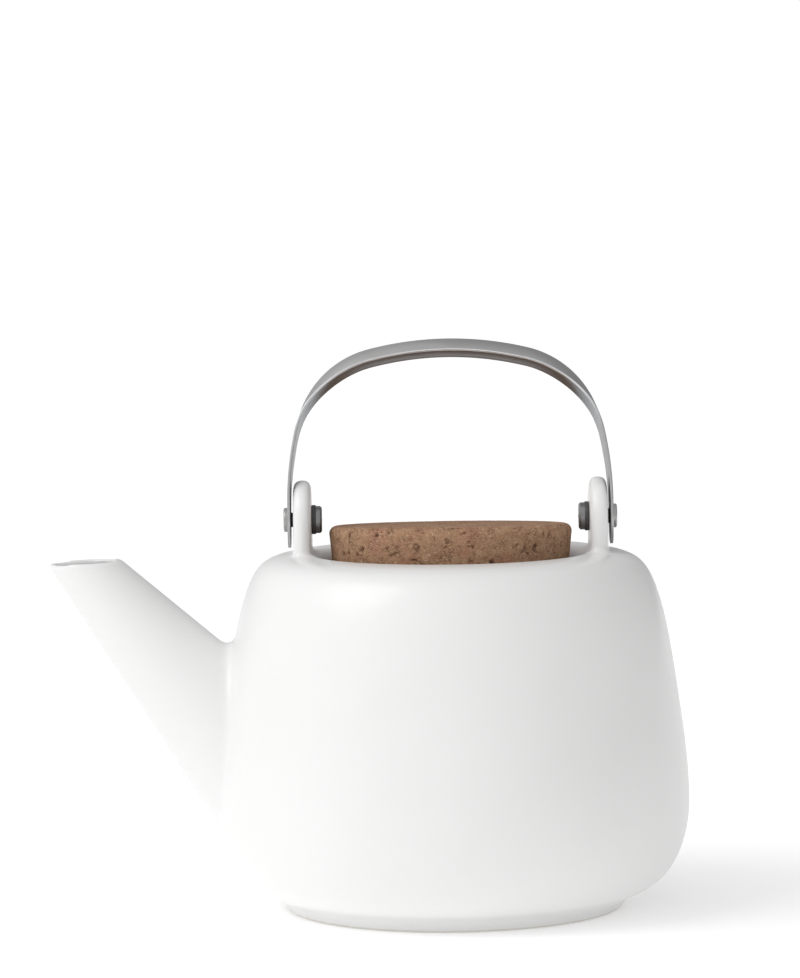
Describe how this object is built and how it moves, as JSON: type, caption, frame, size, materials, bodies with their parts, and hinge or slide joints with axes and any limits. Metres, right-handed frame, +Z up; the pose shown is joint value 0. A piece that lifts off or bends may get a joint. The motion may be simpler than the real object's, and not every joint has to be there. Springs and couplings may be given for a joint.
{
  "type": "teapot",
  "caption": "Porcelain teapot with a straight conical spout, cork disc lid, hanging steel tea basket and a swinging steel strip bail handle.",
  "frame": {"origin": "centre of the foot ring, on the surface the pot stands on", "axes": "+Z up; the spout points along -X (front); the bail swings about an axis along X"},
  "size_m": [0.2179, 0.1612, 0.1941],
  "materials": {
    "porcelain": "glossy white glaze, bare foot ring",
    "cork": "pressed cork granules, matt, lightly pitted",
    "silicone": "satin translucent silicone",
    "polished_steel": "polished stainless steel",
    "mesh_steel": "fine stainless steel mesh",
    "brushed_steel": "brushed along the strip",
    "fastener_steel": "turned steel",
    "dark_steel": "dark turned steel",
    "black_nylon": "moulded black nylon",
    "black_rubber": "matt black rubber"
  },
  "bodies": {
    "pot": {"pot_body": "porcelain", "front_pivot_screw": "fastener_steel", "front_pivot_bush": "black_nylon", "front_inner_washer": "black_rubber", "front_cap_nut": "dark_steel", "rear_pivot_screw": "fastener_steel", "rear_pivot_bush": "black_nylon", "rear_inner_washer": "black_rubber", "rear_cap_nut": "dark_steel"},
    "basket": {"infuser_rim": "polished_steel", "infuser_wall": "mesh_steel", "infuser_floor": "mesh_steel"},
    "lid": {"cork_lid": "cork", "lid_seal": "silicone"},
    "bail": {"handle_bail": "brushed_steel"}
  },
  "joints": [
    {"name": "bail_swing", "type": "hinge", "parent": "pot", "child": "bail", "pos_m": [0, 0, 0.1334], "axis": [1, 0, 0], "range_deg": [-77.5, 102.5]},
    {"name": "basket_lift", "type": "slide", "parent": "pot", "child": "basket", "axis": [0, 0, 1], "range_m": [0, 0.014]},
    {"name": "lid_lift", "type": "slide", "parent": "basket", "child": "lid", "axis": [0, 0, 1], "range_m": [0, 0.028]}
  ]
}
